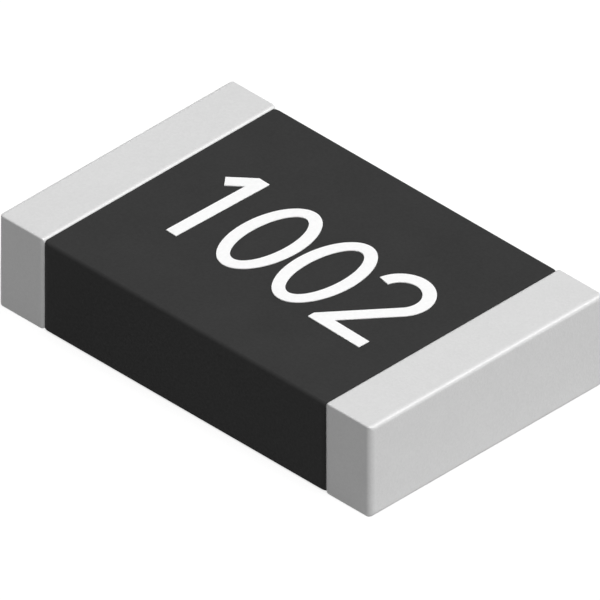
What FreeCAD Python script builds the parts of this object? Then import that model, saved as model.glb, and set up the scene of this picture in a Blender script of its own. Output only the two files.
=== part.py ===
import FreeCAD, Part
import os
import re

import Sketcher

# Surface-mount thick-film chip resistor, 2.00 x 1.25 mm.
# Origin: middle of the footprint, on the plane that the two caps stand on.
# X runs from the left cap to the right cap, Y across the chip, Z up.
# The chip is built up in layers, and every layer is a piece of its own.

# Driving dimensions, in millimetres and degrees: alias, value, meaning
DIMENSIONS = (
    ("chip_length", 2.00, "overall length, over both tin caps"),
    ("chip_width", 1.25, "overall width, over the sides of the tin caps"),
    ("chip_height", 0.42, "overall height of the tin caps"),
    ("cap_length", 0.245, "how far each tin cap reaches in from its end"),
    ("tin_thickness", 0.007, "tin plating"),
    ("nickel_thickness", 0.005, "nickel plating under the tin"),
    ("silver_thickness", 0.018, "dipped silver end under the nickel"),
    ("silver_edge_radius", 0.003, "rounding of the dipped silver's edges"),
    ("scribe_bevel", 0.012, "bevel that scribing leaves round the ceramic's underside"),
    ("top_electrode_length", 0.40, "printed silver on top, in from the ceramic's end"),
    ("top_electrode_thickness", 0.008, "printed silver on top"),
    ("top_electrode_inset", 0.05, "printed silver on top, in from the long edges"),
    ("bottom_electrode_length", 0.17, "printed silver underneath, along the chip"),
    ("bottom_electrode_thickness", 0.006, "printed silver underneath"),
    ("bottom_electrode_inset", 0.05, "printed silver underneath, in from the long edges"),
    ("bottom_electrode_setback", 0.015, "printed silver underneath, in from the end"),
    ("film_width", 0.86, "resistive film across the chip"),
    ("film_overlap", 0.10, "resistive film on each top electrode"),
    ("film_thickness", 0.007, "resistive film"),
    ("glass_margin", 0.03, "glass beyond the film on every side"),
    ("glass_thickness", 0.005, "glass over the film"),
    ("trim_width", 0.03, "width of the laser's trim cut"),
    ("trim_offset", 0.20, "trim cut's first leg, left of the middle"),
    ("trim_depth", 0.40, "trim cut's first leg, in from the film's front edge"),
    ("trim_run", 0.30, "trim cut's second leg, along the chip"),
    ("coat_top_recess", 0.0075, "coat's top below the top of the tin"),
    ("coat_side_recess", 0.001, "coat's sides in from the sides of the tin"),
    ("coat_base_recess", 0.004, "coat's lips above the underside of the tin"),
    ("coat_lip_width", 0.08, "coat's lips under the ceramic"),
    ("coat_top_radius", 0.018, "rounding of the coat's top long edges"),
    ("coat_lip_radius", 0.007, "rounding of the coat's lips"),
    ("digit_height", 0.49, "printed digit, from foot to top"),
    ("digit_width", 0.28, "printed digit, across"),
    ("digit_pitch", 0.305, "from one printed digit to the next"),
    ("digit_stroke", 0.055, "width of the printed line"),
    ("digit_thickness", 0.004, "height of the ink above the coat"),
    ("stem_shift", 0.02, "stem of the one, right of its middle"),
    ("flag_length", 0.13, "flag of the one, along its slope"),
    ("flag_angle", 42, "flag of the one, from level"),
    ("neck_angle", 52, "neck of the two, from level"),
    ("hook_angle", 208, "bow of the two, from its neck to its tip"),
    ("print_shift_left", 0.008, "middle of the print, left of the chip's middle"),
    ("print_shift_front", 0.012, "middle of the print, in front of the chip's middle"),
    ("print_angle", 1.5, "print, turned clockwise from square"),
)
ALIASES = {alias for alias, value, meaning in DIMENSIONS}
LEFT = -1
RIGHT = 1

# Sizes and levels that follow from the driving dimensions
CUP_WALL = "(silver_thickness + nickel_thickness + tin_thickness)"
SUBSTRATE_LENGTH = f"(chip_length - 2 * {CUP_WALL})"
SUBSTRATE_WIDTH = f"(chip_width - 2 * {CUP_WALL})"
SUBSTRATE_BASE = f"({CUP_WALL} + bottom_electrode_thickness)"
SUBSTRATE_TOP = f"(chip_height - {CUP_WALL} - top_electrode_thickness)"
COAT_LENGTH = "(chip_length - 2 * cap_length)"
COAT_WIDTH = "(chip_width - 2 * coat_side_recess)"
COAT_TOP = "(chip_height - coat_top_recess)"
ELECTRODE_GAP = f"({SUBSTRATE_LENGTH} - 2 * top_electrode_length)"
FILM_LENGTH = f"({ELECTRODE_GAP} + 2 * film_overlap)"
GLASS_LENGTH = f"({FILM_LENGTH} + 2 * glass_margin)"
GLASS_WIDTH = "(film_width + 2 * glass_margin)"
GLASS_STACK = "(film_thickness + glass_thickness)"


def cells(formula):
    """The formula with every alias written as a cell of the sheet."""
    def cell(word):
        return f"Dimensions.{word.group()}" if word.group() in ALIASES else word.group()
    return re.sub(r"[a-z_]+", cell, formula)


def bind(thing, **formulas):
    """Binds each named property of the thing to its formula."""
    for name, formula in formulas.items():
        thing.setExpression(name, cells(formula))


def place(thing, x="0", y="0", z="0", turn="0"):
    """Binds where the thing stands, and its turn about the vertical."""
    thing.Placement.Rotation = FreeCAD.Rotation(FreeCAD.Vector(0, 0, 1), 1)
    for path, formula in (("Base.x", x), ("Base.y", y), ("Base.z", z), ("Rotation.Angle", turn)):
        thing.setExpression(f"Placement.{path}", cells(formula))


def make_sheet(document):
    """The spreadsheet of driving dimensions, one row each."""
    sheet = document.addObject("Spreadsheet::Sheet", "Dimensions")
    for row, (alias, value, meaning) in enumerate(DIMENSIONS, start=1):
        sheet.set(f"A{row}", alias)
        sheet.set(f"B{row}", str(value))
        sheet.set(f"C{row}", meaning)
        sheet.setAlias(f"B{row}", alias)
    document.recompute()
    return sheet


def mirrored(corners):
    """The same corners on the other side of the middle, in the order that closes the outline."""
    return [(f"0 - ({across})", up) for across, up in reversed(corners)]


def outline(body, role, corners):
    """A closed sketch on one of the body's own planes, with each corner bound to two formulas."""
    sketch = body.newObject("Sketcher::SketchObject", f"{body.Name}_outline")
    plane = next(item for item in body.Origin.OriginFeatures if item.Role == role)
    sketch.AttachmentSupport = [(plane, "")]
    sketch.MapMode = "FlatFace"
    points = [
        FreeCAD.Vector(*(sketch.evalExpression(cells(formula)) for formula in corner), 0)
        for corner in corners
    ]
    count = len(points)
    for index, point in enumerate(points):
        sketch.addGeometry(Part.LineSegment(point, points[(index + 1) % count]), False)
    for index in range(count):
        sketch.addConstraint(Sketcher.Constraint("Coincident", index, 2, (index + 1) % count, 1))
    for index, (point, corner) in enumerate(zip(points, corners)):
        for axis, value, formula in (("X", point.x, corner[0]), ("Y", point.y, corner[1])):
            held = Sketcher.Constraint(f"Distance{axis}", -1, 1, index, 1, value)
            name = f"corner_{index}_{axis.lower()}"
            sketch.renameConstraint(sketch.addConstraint(held), name)
            sketch.setExpression(f"Constraints.{name}", cells(formula))
    return sketch


def pad(body, sketch, depth, side="One side"):
    """The sketch raised into a solid."""
    raised = body.newObject("PartDesign::Pad", f"{body.Name}_pad")
    raised.Profile = sketch
    raised.SideType = side
    bind(raised, Length=depth)
    return raised


def block(document, label, length, width, height):
    """A body that is one rectangular pad, centred in plan and standing on its own base plane."""
    body = document.addObject("PartDesign::Body", label)
    corners = [
        (f"{x_side} * {length} / 2", f"{y_side} * {width} / 2")
        for x_side, y_side in ((-1, -1), (1, -1), (1, 1), (-1, 1))
    ]
    pad(body, outline(body, "XY_Plane", corners), height)
    return body


def dress(body, kind, edges, **size):
    """A fillet or a chamfer on the named edges of the body's last feature, or on every edge."""
    base = body.Tip
    dressing = body.newObject(f"PartDesign::{kind}", f"{body.Name}_{kind.lower()}")
    dressing.Base = (base, edges or [""])
    dressing.UseAllEdges = not edges
    bind(dressing, **size)
    body.Tip = dressing
    return dressing


def edges_near(feature, wanted):
    """The names of the feature's edges whose middle point the test accepts."""
    return [
        f"Edge{number}"
        for number, edge in enumerate(feature.Shape.Edges, start=1)
        if wanted(edge.BoundBox.Center)
    ]


def boolean(document, kind, label, base, tool):
    """What a Cut of the base by the tool leaves, or a Common of the two."""
    result = document.addObject(f"Part::{kind}", label)
    result.Base = base
    result.Tool = tool
    result.Refine = True
    return result


def joined(document, label, pieces):
    """Several solids joined into one."""
    result = document.addObject("Part::MultiFuse", label)
    result.Shapes = pieces
    result.Refine = True
    return result


def make_substrate(document):
    """Alumina chip, bevelled where its underside was scribed to be snapped apart."""
    height = f"({SUBSTRATE_TOP} - {SUBSTRATE_BASE})"
    body = block(document, "ceramic_substrate", SUBSTRATE_LENGTH, SUBSTRATE_WIDTH, height)
    place(body, z=SUBSTRATE_BASE)
    document.recompute()
    base = body.Placement.Base.z
    underside = edges_near(body.Tip, lambda middle: abs(middle.z) < base / 2)
    dress(body, "Chamfer", underside, Size="scribe_bevel")
    return body


def make_top_electrode(document, name, side):
    """Silver print on the top of the ceramic, from its end to under the coat."""
    body = block(
        document,
        f"top_electrode_{name}",
        "top_electrode_length",
        f"({SUBSTRATE_WIDTH} - 2 * top_electrode_inset)",
        "top_electrode_thickness",
    )
    place(body, x=f"{side} * ({SUBSTRATE_LENGTH} - top_electrode_length) / 2", z=SUBSTRATE_TOP)
    return body


def make_bottom_electrode(document, name, side):
    """Silver print on the underside, wholly inside the cap."""
    body = block(
        document,
        f"bottom_electrode_{name}",
        "bottom_electrode_length",
        f"({SUBSTRATE_WIDTH} - 2 * bottom_electrode_inset)",
        "bottom_electrode_thickness",
    )
    middle = f"({SUBSTRATE_LENGTH} - bottom_electrode_length) / 2 - bottom_electrode_setback"
    place(body, x=f"{side} * ({middle})", z=CUP_WALL)
    return body


def stepped_layer(document, label, length, width, stack):
    """A layer that lies on the ceramic in the middle and steps up over both top electrodes.

    The outline is in the XZ plane, and each riser is as thick as the layer's stack.
    """
    body = document.addObject("PartDesign::Body", label)
    step = f"({ELECTRODE_GAP} / 2)"
    upper = f"({SUBSTRATE_TOP} + top_electrode_thickness)"
    half = [
        (step, SUBSTRATE_TOP),
        (step, upper),
        (f"{length} / 2", upper),
        (f"{length} / 2", f"{upper} + {stack}"),
        (f"{step} - {stack}", f"{upper} + {stack}"),
        (f"{step} - {stack}", f"{SUBSTRATE_TOP} + {stack}"),
    ]
    pad(body, outline(body, "XZ_Plane", half + mirrored(half)), width, "Symmetric")
    return body


def make_trim_cut(document):
    """The L-shaped path that the laser cuts through glass and film to set the value."""
    body = document.addObject("PartDesign::Body", "trim_path")
    start = f"(0 - {GLASS_WIDTH} / 2 - glass_margin)"
    turn = "(trim_depth - film_width / 2)"
    left = "(0 - trim_offset - trim_width / 2)"
    right = f"({left} + trim_width)"
    corners = [
        (left, start),
        (right, start),
        (right, f"{turn} - trim_width"),
        (f"{right} + trim_run", f"{turn} - trim_width"),
        (f"{right} + trim_run", turn),
        (left, turn),
    ]
    pad(body, outline(body, "XY_Plane", corners), f"{GLASS_STACK} + top_electrode_thickness")
    place(body, z=SUBSTRATE_TOP)
    return body


def make_film(document, trim_path):
    """Resistive film from one top electrode to the other, with its trim cut."""
    blank = stepped_layer(document, "film_blank", FILM_LENGTH, "film_width", "film_thickness")
    return boolean(document, "Cut", "resistive_film", blank, trim_path), blank


def make_glass(document, trim_path, film_blank):
    """Glass over the film and round its edges, with the same trim cut."""
    blank = stepped_layer(document, "glass_blank", GLASS_LENGTH, GLASS_WIDTH, GLASS_STACK)
    taken = joined(document, "under_glass", [film_blank, trim_path])
    return boolean(document, "Cut", "glass_coat", blank, taken)


def make_coat(document, core):
    """Black coat over the top and both long sides, with a lip under each long edge."""
    body = document.addObject("PartDesign::Body", "coat_blank")
    lip = f"({SUBSTRATE_WIDTH} / 2 - coat_lip_width)"
    right_half = [
        (lip, SUBSTRATE_BASE),
        (lip, "coat_base_recess"),
        (f"{COAT_WIDTH} / 2", "coat_base_recess"),
        (f"{COAT_WIDTH} / 2", COAT_TOP),
    ]
    profile = outline(body, "YZ_Plane", right_half + mirrored(right_half))
    raised = pad(body, profile, COAT_LENGTH, "Symmetric")
    document.recompute()
    box = raised.Shape.BoundBox
    reach = (box.ZMax - box.ZMin) / 100
    along = box.XLength / 4
    top_edges = edges_near(
        raised,
        lambda middle: middle.z > box.ZMax - reach and abs(middle.x) < along,
    )
    dress(body, "Fillet", top_edges, Radius="coat_top_radius")
    document.recompute()
    lip_edges = edges_near(
        body.Tip,
        lambda middle: middle.z < box.ZMin + reach and abs(middle.x) < along,
    )
    dress(body, "Fillet", lip_edges, Radius="coat_lip_radius")
    return boolean(document, "Cut", "protective_coat", body, joined(document, "under_coat", core))


def cup_envelope(document, name, side, over):
    """A round-edged block over one end of the chip; over is how much plating lies outside it."""
    under = f"({CUP_WALL} - {over})"
    length = f"(cap_length - 2 * {over})"
    body = block(
        document,
        name,
        length,
        f"(chip_width - 2 * {over})",
        f"(chip_height - 2 * {over})",
    )
    place(body, x=f"{side} * (chip_length - cap_length) / 2", z=over)
    document.recompute()
    dress(body, "Fillet", None, Radius=f"silver_edge_radius + {under} - silver_thickness")
    return body


def make_cups(document, name, side, core):
    """One end's three nested cups: dipped silver, nickel on it, tin on that."""
    layers = (
        ("end_electrode", "(nickel_thickness + tin_thickness)"),
        ("nickel_barrier", "tin_thickness"),
        ("tin_plating", "0"),
    )
    cups = []
    inside = core
    for layer, over in layers:
        envelope = cup_envelope(document, f"{layer}_envelope_{name}", side, over)
        taken = joined(document, f"inside_{layer}_{name}", inside)
        cups.append(boolean(document, "Cut", f"{layer}_{name}", envelope, taken))
        inside = [*core, envelope]
    return cups


def glyph_box(document, label, length, width, x, y, turn="0"):
    """One straight stroke of the print."""
    stroke = document.addObject("Part::Box", label)
    bind(stroke, Length=length, Width=width, Height="digit_thickness")
    place(stroke, x=x, y=y, turn=turn)
    return stroke


def glyph_one(document, label, left, foot):
    """A stem with a sloping flag at its top left."""
    stem_left = f"({left} + digit_width / 2 + stem_shift - digit_stroke / 2)"
    stem = glyph_box(document, f"{label}_stem", "digit_stroke", "digit_height", stem_left, foot)
    flag = glyph_box(
        document,
        f"{label}_flag",
        "flag_length",
        "digit_stroke",
        f"{stem_left} - flag_length * cos(flag_angle) + digit_stroke * sin(flag_angle)",
        f"{foot} + digit_height - flag_length * sin(flag_angle) - digit_stroke * cos(flag_angle)",
        "flag_angle",
    )
    return joined(document, label, [stem, flag])


def oval(document, label, left, foot, inset):
    """An upright oval that fills a digit's cell, less the inset all round."""
    rim = document.addObject("Part::Ellipse", f"{label}_rim")
    bind(rim, MajorRadius=f"digit_height / 2 - {inset}", MinorRadius=f"digit_width / 2 - {inset}")
    place(rim, x=f"{left} + digit_width / 2", y=f"{foot} + digit_height / 2", turn="90")
    body = document.addObject("Part::Extrusion", label)
    body.Base = rim
    body.Dir = FreeCAD.Vector(0, 0, 1)
    body.DirMode = "Custom"
    body.Solid = True
    bind(body, LengthFwd="digit_thickness")
    return body


def glyph_zero(document, label, left, foot):
    """An oval ring."""
    outer = oval(document, f"{label}_outer", left, foot, "0")
    inner = oval(document, f"{label}_inner", left, foot, "digit_stroke")
    return boolean(document, "Cut", label, outer, inner)


def glyph_two(document, label, left, foot):
    """A bow, a straight neck that leaves it on its tangent, and a level foot."""
    bow_x = f"({left} + digit_width / 2)"
    bow_y = f"({foot} + digit_height - digit_width / 2)"
    discs = []
    for part, inset in (("outer", "0"), ("inner", "digit_stroke")):
        disc = document.addObject("Part::Cylinder", f"{label}_{part}")
        bind(
            disc,
            Radius=f"digit_width / 2 - {inset}",
            Height="digit_thickness",
            Angle="hook_angle",
        )
        place(disc, x=bow_x, y=bow_y, turn="neck_angle - 90")
        discs.append(disc)
    bow = boolean(document, "Cut", f"{label}_bow", *discs)
    neck = glyph_box(
        document,
        f"{label}_neck",
        "digit_height",
        "digit_stroke",
        f"{bow_x} - digit_height * cos(neck_angle) + digit_width / 2 * sin(neck_angle)",
        f"{bow_y} - digit_height * sin(neck_angle) - digit_width / 2 * cos(neck_angle)",
        "neck_angle",
    )
    base = glyph_box(document, f"{label}_base", "digit_width", "digit_stroke", left, foot)
    cell = glyph_box(document, f"{label}_cell", "digit_width", "digit_height", left, foot)
    strokes = joined(document, f"{label}_strokes", [bow, neck, base])
    return boolean(document, "Common", label, strokes, cell)


def make_marking(document):
    """Four printed digits, standing on the coat and turned slightly off square."""
    glyphs = (glyph_one, glyph_zero, glyph_zero, glyph_two)
    middle = (len(glyphs) - 1) / 2
    foot = "(0 - digit_height / 2)"
    digits = []
    for cell, glyph in enumerate(glyphs):
        left = f"({cell - middle} * digit_pitch - digit_width / 2)"
        digits.append(glyph(document, f"digit_{cell + 1}", left, foot))
    marking = document.addObject("Part::Compound", "marking")
    marking.Links = digits
    place(
        marking,
        x="0 - print_shift_left",
        y="0 - print_shift_front",
        z=COAT_TOP,
        turn="0 - print_angle",
    )
    return marking


def make_resistor(document):
    """Every piece of the resistor, from the ceramic outwards."""
    substrate = make_substrate(document)
    sides = (("left", LEFT), ("right", RIGHT))
    tops = [make_top_electrode(document, name, side) for name, side in sides]
    bottoms = [make_bottom_electrode(document, name, side) for name, side in sides]
    trim_path = make_trim_cut(document)
    film, film_blank = make_film(document, trim_path)
    glass = make_glass(document, trim_path, film_blank)
    coat = make_coat(document, [substrate, *tops, film, glass])
    cups = []
    for (name, side), top, bottom in zip(sides, tops, bottoms):
        cups += make_cups(document, name, side, [substrate, top, bottom])
    return [substrate, *tops, *bottoms, film, glass, coat, make_marking(document), *cups]


def write_pieces(document, pieces):
    """Checks the whole document, then writes each piece to its own file."""
    document.recompute()
    failed = [item.Label for item in document.Objects if {"Invalid", "Error"} & set(item.State)]
    failed += [item.Label for item in pieces if item.Shape.isNull() or not item.Shape.isValid()]
    if failed:
        raise RuntimeError("these failed: " + ", ".join(failed))
    os.makedirs("parts", exist_ok=True)
    for piece in pieces:
        piece.Shape.exportStep(f"parts/{piece.Label}.step")


chip = FreeCAD.newDocument("chip_resistor")
make_sheet(chip)
write_pieces(chip, make_resistor(chip))
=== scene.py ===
import math

import bmesh
import bpy
from mathutils import Matrix, Vector


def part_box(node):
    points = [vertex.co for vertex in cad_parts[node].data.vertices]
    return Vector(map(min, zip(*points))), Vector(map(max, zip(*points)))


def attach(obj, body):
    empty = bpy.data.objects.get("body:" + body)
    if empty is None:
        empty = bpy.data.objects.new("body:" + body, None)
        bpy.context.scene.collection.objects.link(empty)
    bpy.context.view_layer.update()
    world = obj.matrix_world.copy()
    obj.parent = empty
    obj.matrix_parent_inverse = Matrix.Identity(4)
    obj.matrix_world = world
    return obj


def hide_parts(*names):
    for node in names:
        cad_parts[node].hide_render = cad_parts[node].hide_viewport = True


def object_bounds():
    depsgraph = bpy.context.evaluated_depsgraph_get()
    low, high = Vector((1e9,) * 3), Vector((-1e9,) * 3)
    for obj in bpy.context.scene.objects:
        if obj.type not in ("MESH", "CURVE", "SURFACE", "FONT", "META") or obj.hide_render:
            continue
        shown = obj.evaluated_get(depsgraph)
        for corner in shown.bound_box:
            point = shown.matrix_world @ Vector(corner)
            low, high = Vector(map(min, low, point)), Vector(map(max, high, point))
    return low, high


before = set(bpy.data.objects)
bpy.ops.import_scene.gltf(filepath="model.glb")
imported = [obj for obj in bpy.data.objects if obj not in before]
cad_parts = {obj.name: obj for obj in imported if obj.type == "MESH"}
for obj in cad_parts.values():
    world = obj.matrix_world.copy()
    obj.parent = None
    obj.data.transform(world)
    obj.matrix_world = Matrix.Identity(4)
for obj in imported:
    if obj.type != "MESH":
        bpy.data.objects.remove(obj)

# Looks of a surface-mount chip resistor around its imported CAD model, in metres.
# X runs from the left cap to the right cap, Y across the chip, Z up.
# Meshes are made in millimetres, which keeps the booleans exact, and brought to metres at the end.
MM = 0.001
CAD_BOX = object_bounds()
BODY = "root"
SIDES = ("left", "right")

# Sizes that the CAD nodes' boxes don't give, in millimetres and degrees

# A tin cap's rounded edges: those along the chip, and those round the chip's end,
# where the upright ones are rounder
TIN_ALONG_RADIUS = 0.006
TIN_END_RADIUS = 0.019
TIN_END_SIDE_RADIUS = 0.026
# Its rim at the coat: rounded on top and underneath, while its sides fall away over a short length
TIN_RIM_RADIUS = 0.016
TIN_RIM_FALL = 0.006
TIN_RIM_FALL_LENGTH = 0.022
TIN_STEPS = 18
CORNER_STEPS = 8
# The nickel's rounding, which the tin's cavity takes over
NICKEL_RADIUS = 0.008
NICKEL_STEPS = 6
# The coat's long top edges, and its lips under the chip's long edges
COAT_TOP_RADIUS = 0.014
COAT_TOP_STEPS = 16
COAT_LIP_RADIUS = 0.007
COAT_LIP_STEPS = 6
COAT_LIP_WIDTH = 0.08
# The coat's sides swell past its node to the caps' sides, and fall away a little at each cap
COAT_SWELL = 0.001
COAT_END_RADIUS = 0.045
COAT_END_TURN = 30
COAT_END_STEPS = 8

# The printed number
DIGITS = (1, 0, 0, 2)
DIGIT_HEIGHT = 0.49
DIGIT_WIDTH = 0.28
DIGIT_PITCH = 0.305
DIGIT_STROKE = 0.055
STEM_SHIFT = 0.02
FLAG_LENGTH = 0.13
FLAG_ANGLE = 42
NECK_ANGLE = 52
HOOK_ANGLE = 208
BOW_STEPS = 40
OVAL_STEPS = 72
PRINT_SHIFT = (-0.008, -0.012)
PRINT_ANGLE = -1.5
# Its softened top edges: an edge is one of them if its faces meet at more than this, in radians
INK_RADIUS = 0.0012
INK_STEPS = 3
INK_EDGE_TURN = 1
ROUND_PROFILE = 0.5

# Faces that meet at more than this are shaded as separate, in degrees
SHARP_ANGLE = 35
# Points of a CAD mesh that are closer than this are one point, in millimetres
WELD_DISTANCE = 1e-6


def box_mm(node):
    """A CAD node's lowest and highest corners, in millimetres."""
    low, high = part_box(node)
    return low / MM, high / MM


def to_object(name, made):
    """A new object in the scene from a bmesh, still in millimetres."""
    mesh = bpy.data.meshes.new(name)
    made.to_mesh(mesh)
    made.free()
    piece = bpy.data.objects.new(name, mesh)
    bpy.context.scene.collection.objects.link(piece)
    return piece


def plain_box(name, low, high):
    """A box with sharp edges between two corners."""
    made = bmesh.new()
    bmesh.ops.create_cube(made, size=1)
    bmesh.ops.scale(made, vec=high - low, verts=made.verts)
    bmesh.ops.translate(made, vec=(high + low) / 2, verts=made.verts)
    return to_object(name, made)


def rounded_box(name, low, high, radius, steps):
    """A box with every edge rounded alike."""
    piece = plain_box(name, low, high)
    bevel = piece.modifiers.new("rounding", "BEVEL")
    bevel.limit_method = "NONE"
    bevel.width = radius
    bevel.segments = steps
    settle(piece)
    return piece


def node_copy(node):
    """A copy of a CAD node in millimetres, used only to cut with."""
    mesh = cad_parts[node].data.copy()
    mesh.transform(Matrix.Scale(1 / MM, 4))
    made = bmesh.new()
    made.from_mesh(mesh)
    bpy.data.meshes.remove(mesh)
    bmesh.ops.remove_doubles(made, verts=made.verts, dist=WELD_DISTANCE)
    return to_object(f"{node}_tool", made)


def cut_away(piece, tools):
    """Cuts each tool out of the piece and removes the tools."""
    for tool in tools:
        cutter = piece.modifiers.new("cut", "BOOLEAN")
        cutter.operation = "DIFFERENCE"
        cutter.solver = "EXACT"
        cutter.object = tool
    settle(piece)
    for tool in tools:
        bpy.data.objects.remove(tool)


def settle(piece):
    """Replaces the piece's mesh by what its modifiers make of it."""
    depsgraph = bpy.context.evaluated_depsgraph_get()
    mesh = bpy.data.meshes.new_from_object(piece.evaluated_get(depsgraph))
    piece.modifiers.clear()
    piece.data = mesh


def finish_piece(piece, material, nodes):
    """Shades a piece, brings it to metres, and gives it its material and its place on the body."""
    piece.data.shade_smooth()
    piece.data.set_sharp_from_angle(angle=math.radians(SHARP_ANGLE))
    piece.modifiers.new("even", "WEIGHTED_NORMAL").keep_sharp = True
    settle(piece)
    piece.data.transform(Matrix.Scale(MM, 4))
    piece.data.materials.clear()
    piece.data.materials.append(material)
    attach(piece, BODY)
    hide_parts(*nodes)


# Materials

# The range that Blender's noise keeps to, apart from its rare extremes
NOISE_LOW = 0.3
NOISE_HIGH = 0.7
# A sintered metal's roughness either side of its mean, and its grains' width over their depth
ROUGHNESS_SPREAD = 0.06
GRAIN_SLENDERNESS = 20


class Nodes:
    """A short way to write a material's node tree."""

    def __init__(self, name):
        self.material = bpy.data.materials.new(name)
        self.material.use_nodes = True
        self.tree = self.material.node_tree
        self.shader = self.tree.nodes["Principled BSDF"]
        self.place = self.add("ShaderNodeTexCoord").outputs["Object"]

    def add(self, kind, **values):
        """A new node, with values for its inputs."""
        node = self.tree.nodes.new(kind)
        for name, value in values.items():
            node.inputs[name.replace("_", " ")].default_value = value
        return node

    def link(self, source, target):
        self.tree.links.new(source, target)

    def noise(self, size_mm, detail=2):
        """Noise whose features are about this many millimetres across."""
        node = self.add("ShaderNodeTexNoise", Scale=1 / (size_mm * MM), Detail=detail)
        self.link(self.place, node.inputs["Vector"])
        return node.outputs["Fac"]

    def cells(self, size_mm):
        """Crystal cells about this many millimetres across: their own tones, and heights within them."""
        node = self.add("ShaderNodeTexVoronoi", Scale=1 / (size_mm * MM))
        self.link(self.place, node.inputs["Vector"])
        return node.outputs["Color"], node.outputs["Distance"]

    def halfway(self, first, second):
        """The mean of two sources."""
        node = self.add("ShaderNodeMix", Factor=0.5)
        self.link(first, node.inputs["A"])
        self.link(second, node.inputs["B"])
        return node.outputs["Result"]

    def colour(self, source, low, high, start=NOISE_LOW, end=NOISE_HIGH):
        """Base colour that runs from low to high as the source runs from start to end."""
        node = self.add("ShaderNodeValToRGB")
        first, last = node.color_ramp.elements
        first.position, first.color = start, (*low, 1)
        last.position, last.color = end, (*high, 1)
        self.link(source, node.inputs["Fac"])
        self.link(node.outputs["Color"], self.shader.inputs["Base Color"])

    def roughness(self, source, low, high, start=NOISE_LOW, end=NOISE_HIGH):
        """Roughness that runs from low to high as the source runs from start to end."""
        node = self.add("ShaderNodeMapRange", From_Min=start, From_Max=end, To_Min=low, To_Max=high)
        self.link(source, node.inputs["Value"])
        self.link(node.outputs["Result"], self.shader.inputs["Roughness"])

    def bump(self, depth_mm, *heights):
        """Bump from one or more heights, each 0 to 1, over a depth in millimetres."""
        normal = None
        for height in heights:
            node = self.add("ShaderNodeBump", Strength=1, Distance=depth_mm * MM)
            self.link(height, node.inputs["Height"])
            if normal:
                self.link(normal, node.inputs["Normal"])
            normal = node.outputs["Normal"]
        self.link(normal, self.shader.inputs["Normal"])

    def set(self, **values):
        """Values that are the same all over, set on the shader's own sockets."""
        for name, value in values.items():
            self.shader.inputs[name.replace("_", " ")].default_value = value


def grey(level):
    return (level, level, level)


def matte_tin():
    """Electroplated matte tin: a pale, finely crystalline metal with a soft sheen."""
    n = Nodes("matte_tin")
    cell_tones, cell_heights = n.cells(0.009)
    n.colour(n.halfway(cell_tones, n.noise(0.12, detail=3)), grey(0.655), grey(0.685))
    n.roughness(cell_heights, 0.30, 0.38, start=0, end=0.8)
    n.set(Metallic=0.1)
    n.bump(0.0003, cell_heights, n.noise(0.03))
    return n.material


def black_coat():
    """Filled black epoxy, screen printed and cured: even, matte, with a trace of filler."""
    n = Nodes("black_coat")
    filler = n.noise(0.012, detail=3)
    n.colour(n.noise(0.25), grey(0.0264), grey(0.0296))
    n.roughness(filler, 0.62, 0.74)
    n.set(Specular_IOR_Level=0.11)
    n.bump(0.0004, filler)
    return n.material


def white_ink():
    """Printed white ink, thick enough to stand a little above the coat."""
    n = Nodes("white_ink")
    grain = n.noise(0.015, detail=3)
    n.colour(grain, grey(0.93), grey(0.97))
    n.roughness(grain, 0.50, 0.65)
    n.set(Specular_IOR_Level=0.3)
    n.bump(0.00015, grain)
    return n.material


def alumina():
    """Fired alumina: off-white, with fine grain and a few darker specks."""
    n = Nodes("alumina")
    grain = n.noise(0.01, detail=4)
    n.colour(n.noise(0.04, detail=1), (0.84, 0.83, 0.80), (0.88, 0.87, 0.85), start=0.35, end=0.5)
    n.roughness(grain, 0.50, 0.70)
    n.bump(0.0006, grain)
    return n.material


def resistive_ink():
    """Fired resistive film: near black, glassy and slightly mottled."""
    n = Nodes("resistive_ink")
    mottle = n.noise(0.03, detail=4)
    n.colour(mottle, (0.018, 0.018, 0.020), (0.045, 0.045, 0.050))
    n.roughness(mottle, 0.35, 0.55)
    n.bump(0.001, mottle)
    return n.material


def cover_glass():
    """Thin glass over the film, cloudy green."""
    n = Nodes("cover_glass")
    cloud = n.noise(0.05, detail=3)
    n.colour(cloud, (0.16, 0.26, 0.22), (0.24, 0.36, 0.31))
    n.roughness(cloud, 0.12, 0.22)
    n.bump(0.0004, cloud)
    return n.material


def sintered_metal(name, low, high, metallic, roughness, grain_mm):
    """A fired or plated metal layer inside the part."""
    n = Nodes(name)
    grain = n.noise(grain_mm, detail=4)
    n.colour(grain, low, high)
    n.roughness(grain, roughness - ROUGHNESS_SPREAD, roughness + ROUGHNESS_SPREAD)
    n.set(Metallic=metallic)
    n.bump(grain_mm / GRAIN_SLENDERNESS, grain)
    return n.material


def fired_silver():
    return sintered_metal(
        "fired_silver",
        low=(0.62, 0.60, 0.57),
        high=(0.74, 0.72, 0.68),
        metallic=0.8,
        roughness=0.5,
        grain_mm=0.008,
    )


def plated_nickel():
    return sintered_metal(
        "nickel",
        low=(0.52, 0.50, 0.46),
        high=(0.60, 0.57, 0.52),
        metallic=0.95,
        roughness=0.35,
        grain_mm=0.006,
    )


# Pieces


def arc(centre, radius, start, end, steps):
    """Points on an arc, angles in degrees, both ends included."""
    turns = [math.radians(start + (end - start) * i / steps) for i in range(steps + 1)]
    return [(centre[0] + radius * math.cos(t), centre[1] + radius * math.sin(t)) for t in turns]


def lofted(name, sections):
    """A closed skin over sections, each an X and an outline in the YZ plane with as many points."""
    made = bmesh.new()
    rings = [[made.verts.new((x, y, z)) for y, z in outline] for x, outline in sections]
    made.faces.new(reversed(rings[0]))
    made.faces.new(rings[-1])
    count = len(rings[0])
    for first, second in zip(rings, rings[1:]):
        for i in range(count):
            j = (i + 1) % count
            made.faces.new((first[i], first[j], second[j], second[i]))
    bmesh.ops.recalc_face_normals(made, faces=made.faces)
    return to_object(name, made)


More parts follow.
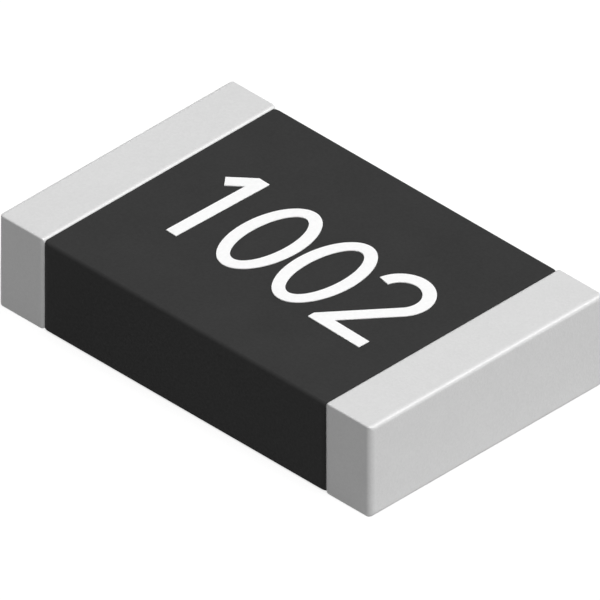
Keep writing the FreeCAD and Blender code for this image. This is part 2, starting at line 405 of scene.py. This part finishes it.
def arc_places(radius):
    """Distances from an edge, at even turns of the arc that rounds it."""
    turns = [math.radians(90 * step / TIN_STEPS) for step in range(TIN_STEPS + 1)]
    return [radius * (1 - math.cos(t)) for t in turns]


def arc_inset(distance, radius):
    """How far a rounded face lies in from its plane, this far from the edge."""
    inwards = max(0, radius - distance)
    return radius - math.sqrt(radius**2 - inwards**2)


def cap_outline(low, high, from_rim, from_end):
    """A cap's outline across the chip, this far from its rim and from the chip's end."""
    rounded = arc_inset(from_end, TIN_END_RADIUS)
    rise = rounded + arc_inset(from_rim, TIN_RIM_RADIUS)
    nearness = max(0, 1 - from_rim / TIN_RIM_FALL_LENGTH)
    half_width = high.y - arc_inset(from_end, TIN_END_SIDE_RADIUS) - TIN_RIM_FALL * nearness**2
    radius = TIN_ALONG_RADIUS + rounded / 2
    across = half_width - radius
    base = low.z + rise + radius
    top = high.z - rise - radius
    corners = ((across, base, -90), (across, top, 0), (-across, top, 90), (-across, base, 180))
    outline = []
    for y, z, start in corners:
        outline += arc((y, z), radius, start, start + 90, CORNER_STEPS)
    return outline


def make_cap(side, material):
    """A tin cap: a thin rounded cup, with the nickel, the chip and its top electrode cut out of it."""
    node = f"tin_plating_{side}"
    low, high = box_mm(node)
    length = high.x - low.x
    rim, outwards = (high.x, -1) if side == "left" else (low.x, 1)
    places = arc_places(TIN_RIM_FALL_LENGTH)
    places += [length - place for place in reversed(arc_places(TIN_END_SIDE_RADIUS))]
    sections = [
        (rim + outwards * place, cap_outline(low, high, place, length - place)) for place in places
    ]
    piece = lofted(f"tin_cap_{side}", sections)
    cavity = rounded_box("cavity", *box_mm(f"nickel_barrier_{side}"), NICKEL_RADIUS, NICKEL_STEPS)
    inner = ("ceramic_substrate", f"top_electrode_{side}")
    cut_away(piece, [cavity, *(plain_box("passage", *box_mm(layer)) for layer in inner)])
    finish_piece(piece, material, [node])


def coat_profile(half_width, base, top, lip_inner, within):
    """The coat's outline across the chip: over the top, down both sides and under each long edge.

    It closes at a height within the substrate, which is cut out of it later.
    """
    lip = COAT_LIP_RADIUS
    right = [(lip_inner, within)]
    right += arc((lip_inner + lip, base + lip), lip, 180, 270, COAT_LIP_STEPS)
    right += arc((half_width - lip, base + lip), lip, -90, 0, COAT_LIP_STEPS)
    shoulder = (half_width - COAT_TOP_RADIUS, top - COAT_TOP_RADIUS)
    right += arc(shoulder, COAT_TOP_RADIUS, 0, 90, COAT_TOP_STEPS)
    return right + [(-across, up) for across, up in reversed(right)]


def make_coat(material):
    """The black coat, with the layers that it covers cut out of it."""
    low, high = box_mm("protective_coat")
    core_low, core_high = box_mm("ceramic_substrate")
    lip_inner = core_high.y - COAT_LIP_WIDTH
    within = (core_low.z + core_high.z) / 2
    centre = (
        high.x - COAT_END_RADIUS * math.sin(math.radians(COAT_END_TURN)),
        high.y + COAT_SWELL - COAT_END_RADIUS,
    )
    right_end = [
        (x, coat_profile(half_width, low.z, high.z, lip_inner, within))
        for x, half_width in arc(centre, COAT_END_RADIUS, 90, 90 - COAT_END_TURN, COAT_END_STEPS)
    ]
    left_end = [(-x, outline) for x, outline in reversed(right_end)]
    piece = lofted("black_coat", left_end + right_end)
    under = (
        "ceramic_substrate", "top_electrode_left", "top_electrode_right", "glass_coat", "resistive_film"
    )
    cut_away(piece, [node_copy(node) for node in under])
    finish_piece(piece, material, ["protective_coat"])


def outline_one():
    """A stem with a sloping flag."""
    left = DIGIT_WIDTH / 2 + STEM_SHIFT - DIGIT_STROKE / 2
    right = left + DIGIT_STROKE
    cosine = math.cos(math.radians(FLAG_ANGLE))
    sine = math.sin(math.radians(FLAG_ANGLE))
    tip = (left - FLAG_LENGTH * cosine, DIGIT_HEIGHT - FLAG_LENGTH * sine)
    return [
        (left, 0),
        (right, 0),
        (right, DIGIT_HEIGHT),
        (left, DIGIT_HEIGHT),
        tip,
        (tip[0] + DIGIT_STROKE * sine, tip[1] - DIGIT_STROKE * cosine),
        (left, DIGIT_HEIGHT - DIGIT_STROKE / cosine),
    ]


def outline_two():
    """A bow, a straight neck on its tangent, and a level foot."""
    centre = (DIGIT_WIDTH / 2, DIGIT_HEIGHT - DIGIT_WIDTH / 2)
    outer = DIGIT_WIDTH / 2
    inner = outer - DIGIT_STROKE
    start = NECK_ANGLE - 90
    bow_out = arc(centre, outer, start, start + HOOK_ANGLE, BOW_STEPS)
    bow_in = arc(centre, inner, start + HOOK_ANGLE, start, BOW_STEPS)
    slope = math.tan(math.radians(NECK_ANGLE))
    foot_join = bow_out[0][0] - (bow_out[0][1] - DIGIT_STROKE) / slope
    heel = bow_in[-1][1] - bow_in[-1][0] * slope
    return [
        (0, 0),
        (DIGIT_WIDTH, 0),
        (DIGIT_WIDTH, DIGIT_STROKE),
        (foot_join, DIGIT_STROKE),
        *bow_out,
        *bow_in,
        (0, heel),
    ]


OUTLINES = {1: outline_one, 2: outline_two}


def oval(inset):
    """An upright oval that fills the digit's cell, less the inset."""
    middle = (DIGIT_WIDTH / 2, DIGIT_HEIGHT / 2)
    across = middle[0] - inset
    up = middle[1] - inset
    turns = [2 * math.pi * i / OVAL_STEPS for i in range(OVAL_STEPS)]
    return [(middle[0] + across * math.cos(t), middle[1] + up * math.sin(t)) for t in turns]


def add_ring(made, outer, inner):
    """A flat ring between two outlines with as many points."""
    out_verts = [made.verts.new((*point, 0)) for point in outer]
    in_verts = [made.verts.new((*point, 0)) for point in inner]
    count = len(out_verts)
    for i in range(count):
        j = (i + 1) % count
        made.faces.new((out_verts[i], out_verts[j], in_verts[j], in_verts[i]))


def make_digit(kind, thickness):
    """One digit's mesh, standing on z = 0, with its top edges softened."""
    made = bmesh.new()
    if kind == 0:
        add_ring(made, oval(0), oval(DIGIT_STROKE))
    else:
        made.faces.new([made.verts.new((*point, 0)) for point in OUTLINES[kind]()])
    raised = bmesh.ops.extrude_face_region(made, geom=made.faces[:])
    top_verts = [item for item in raised["geom"] if isinstance(item, bmesh.types.BMVert)]
    bmesh.ops.translate(made, vec=(0, 0, thickness), verts=top_verts)
    bmesh.ops.recalc_face_normals(made, faces=made.faces)
    top_edges = [
        edge
        for edge in made.edges
        if all(vert.co.z > thickness / 2 for vert in edge.verts)
        and edge.calc_face_angle(0) > INK_EDGE_TURN
    ]
    bmesh.ops.bevel(
        made,
        geom=top_edges,
        offset=INK_RADIUS,
        segments=INK_STEPS,
        profile=ROUND_PROFILE,
        affect="EDGES",
        clamp_overlap=True,
    )
    return made


def make_marking(material):
    """The printed number, turned slightly off square."""
    low, high = box_mm("marking")
    whole = bmesh.new()
    middle = (len(DIGITS) - 1) / 2
    for cell, kind in enumerate(DIGITS):
        digit = make_digit(kind, high.z - low.z)
        shift = ((cell - middle) * DIGIT_PITCH - DIGIT_WIDTH / 2, -DIGIT_HEIGHT / 2, 0)
        bmesh.ops.translate(digit, vec=shift, verts=digit.verts)
        mesh = bpy.data.meshes.new("digit")
        digit.to_mesh(mesh)
        digit.free()
        whole.from_mesh(mesh)
        bpy.data.meshes.remove(mesh)
    turn = Matrix.Rotation(math.radians(PRINT_ANGLE), 3, "Z")
    bmesh.ops.rotate(whole, cent=(0, 0, 0), matrix=turn, verts=whole.verts)
    bmesh.ops.translate(whole, vec=(*PRINT_SHIFT, low.z), verts=whole.verts)
    piece = to_object("printed_number", whole)
    finish_piece(piece, material, ["marking"])


def dress_inner_nodes():
    """Materials for the CAD nodes that stay."""
    silver = fired_silver()
    nickel = plated_nickel()
    looks = {
        "ceramic_substrate": alumina(),
        "resistive_film": resistive_ink(),
        "glass_coat": cover_glass(),
    }
    for side in SIDES:
        for layer in ("top_electrode", "bottom_electrode", "end_electrode"):
            looks[f"{layer}_{side}"] = silver
        looks[f"nickel_barrier_{side}"] = nickel
    for node, material in looks.items():
        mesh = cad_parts[node].data
        mesh.materials.clear()
        mesh.materials.append(material)


# Stage, light and camera, in metres, watts and degrees

# Where the photograph looks from: a true isometric view, without perspective
AZIMUTH = 45
ELEVATION = math.degrees(math.asin(1 / math.sqrt(3)))
VIEW_WIDTH = 2.277 * MM
# How far the picture's middle lies from the part's, as shares of the picture's width
SHIFT = (-0.00125, -0.0014)
CAMERA_DISTANCE = 10 * MM
# The nearest and furthest that the camera sees, as shares of its distance
CLIP_SHARES = (0.1, 10)
# Direction that each light comes from, its width and its power
LIGHTS = {
    "key": ((0.51, -0.060, 0.86), 0.1, 0.425),
    "rim": ((0.50, 0.55, 0.67), 0.1, 0.07),
}
LIGHT_DISTANCE = 0.2
FLOOR_HALF = 0.4
# Levels, where 1 is white: the sky's light, the floor's own grey, and the floor where it is seen
SKY = 0.03
FLOOR_OWN = 0.25
FLOOR_SEEN = 1.05


def white_where_seen(tree):
    """1 for camera, glossy and transmission rays, which see plain white, and 0 for all other rays."""
    path = tree.nodes.new("ShaderNodeLightPath")
    total = path.outputs["Is Camera Ray"]
    for name in ("Is Glossy Ray", "Is Transmission Ray"):
        larger = tree.nodes.new("ShaderNodeMath")
        larger.operation = "MAXIMUM"
        tree.links.new(total, larger.inputs[0])
        tree.links.new(path.outputs[name], larger.inputs[1])
        total = larger.outputs[0]
    return total


def make_floor():
    """A plain pale floor that keeps the object's shadow."""
    made = bmesh.new()
    bmesh.ops.create_grid(made, x_segments=1, y_segments=1, size=FLOOR_HALF)
    floor = to_object("floor", made)
    material = bpy.data.materials.new("floor")
    material.use_nodes = True
    tree = material.node_tree
    tree.nodes.clear()
    diffuse = tree.nodes.new("ShaderNodeBsdfDiffuse")
    diffuse.inputs["Color"].default_value = (*grey(FLOOR_OWN), 1)
    glow = tree.nodes.new("ShaderNodeEmission")
    lift = tree.nodes.new("ShaderNodeMath")
    lift.operation = "MULTIPLY"
    lift.inputs[1].default_value = FLOOR_SEEN - FLOOR_OWN
    tree.links.new(white_where_seen(tree), lift.inputs[0])
    tree.links.new(lift.outputs[0], glow.inputs["Strength"])
    both = tree.nodes.new("ShaderNodeAddShader")
    tree.links.new(diffuse.outputs[0], both.inputs[0])
    tree.links.new(glow.outputs[0], both.inputs[1])
    out = tree.nodes.new("ShaderNodeOutputMaterial")
    tree.links.new(both.outputs[0], out.inputs["Surface"])
    floor.data.materials.append(material)


def make_world():
    """White where it is seen, and an even grey sky for the light that falls."""
    world = bpy.data.worlds.new("studio")
    bpy.context.scene.world = world
    world.use_nodes = True
    tree = world.node_tree
    background = tree.nodes["Background"]
    background.inputs["Color"].default_value = (*grey(1), 1)
    level = tree.nodes.new("ShaderNodeMapRange")
    level.inputs["To Min"].default_value = SKY
    level.inputs["To Max"].default_value = 1
    tree.links.new(white_where_seen(tree), level.inputs["Value"])
    tree.links.new(level.outputs["Result"], background.inputs["Strength"])


def make_light(name, comes_from, width, power):
    """A soft round light that faces the part."""
    data = bpy.data.lights.new(name, "AREA")
    data.shape = "DISK"
    data.size = width
    data.energy = power
    light = bpy.data.objects.new(name, data)
    bpy.context.scene.collection.objects.link(light)
    direction = Vector(comes_from).normalized()
    light.location = direction * LIGHT_DISTANCE
    light.rotation_mode = "QUATERNION"
    light.rotation_quaternion = direction.to_track_quat("Z", "Y")


def make_camera():
    """A camera without perspective, as the photograph has none."""
    data = bpy.data.cameras.new("camera")
    data.type = "ORTHO"
    data.ortho_scale = VIEW_WIDTH
    data.shift_x, data.shift_y = SHIFT
    data.clip_start, data.clip_end = (CAMERA_DISTANCE * share for share in CLIP_SHARES)
    camera = bpy.data.objects.new("camera", data)
    bpy.context.scene.collection.objects.link(camera)
    azimuth = math.radians(AZIMUTH)
    elevation = math.radians(ELEVATION)
    back = Vector((
        math.sin(azimuth) * math.cos(elevation),
        -math.cos(azimuth) * math.cos(elevation),
        math.sin(elevation),
    ))
    low, high = CAD_BOX
    camera.location = (low + high) / 2 + back * CAMERA_DISTANCE
    camera.rotation_mode = "QUATERNION"
    camera.rotation_quaternion = back.to_track_quat("Z", "Y")
    bpy.context.scene.camera = camera


bpy.context.scene.view_settings.view_transform = "Standard"
make_camera()
make_world()
make_floor()
for light_name, light_settings in LIGHTS.items():
    make_light(light_name, *light_settings)
tin = matte_tin()
for side_name in SIDES:
    make_cap(side_name, tin)
make_coat(black_coat())
make_marking(white_ink())
dress_inner_nodes()
